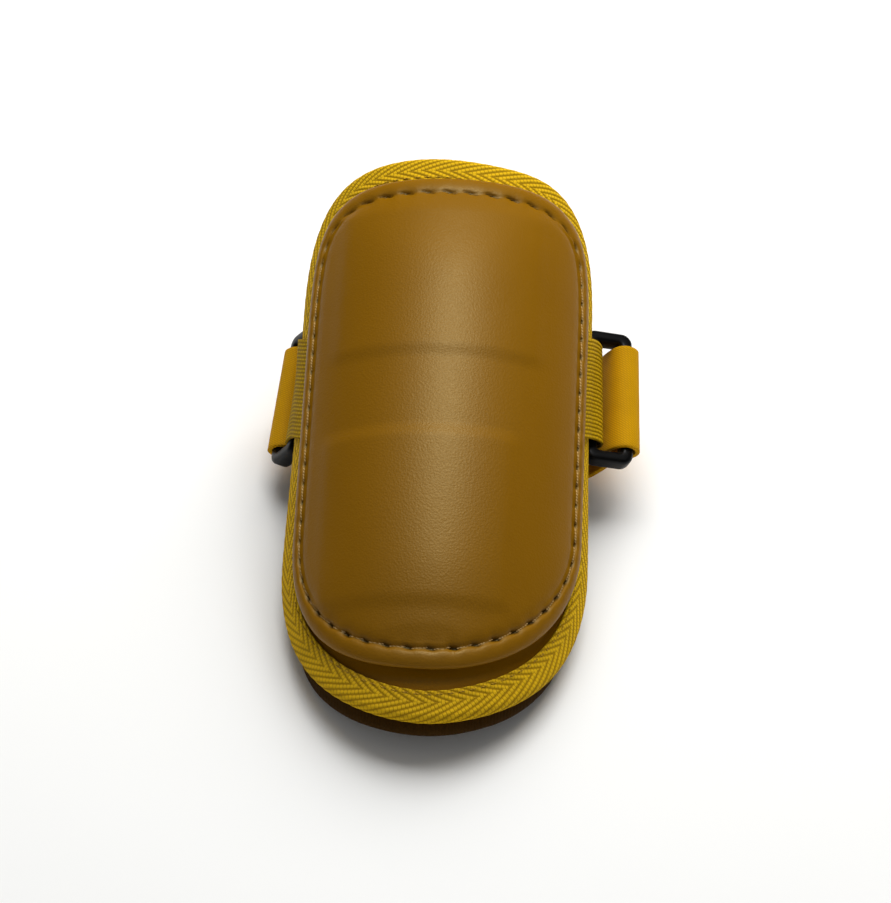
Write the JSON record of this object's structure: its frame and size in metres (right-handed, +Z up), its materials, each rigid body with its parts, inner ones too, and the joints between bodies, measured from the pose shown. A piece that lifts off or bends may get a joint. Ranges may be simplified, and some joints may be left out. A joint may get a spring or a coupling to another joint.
{
  "type": "elbow guard",
  "caption": "Arched batting elbow guard: leather-covered shell stitched to a bound pad, with plastic rings and an elastic strap that closes behind the arm.",
  "frame": {"origin": "centre of the bounding box on the table that the guard rests on", "axes": "+Z up from the table, +Y along the arm towards the raised end, +X across the arm to the right"},
  "size_m": [0.1498, 0.2282, 0.0976],
  "materials": {
    "shell_leather": "smooth, semi-gloss",
    "panel_leather": "smooth, satin",
    "binding_tape": "twill tape",
    "lining": "coated cloth, matt",
    "webbing": "ribbed webbing",
    "black_plastic": "moulded, satin",
    "elastic": "knitted elastic"
  },
  "bodies": {
    "root": {"shell": "shell_leather", "base_panel": "panel_leather", "binding": "binding_tape", "lining_pad": "lining", "webbing_tab_left": "webbing", "webbing_tab_right": "webbing", "ring_left": "black_plastic", "ring_right": "black_plastic", "elastic_strap": "elastic"}
  },
  "joints": []
}
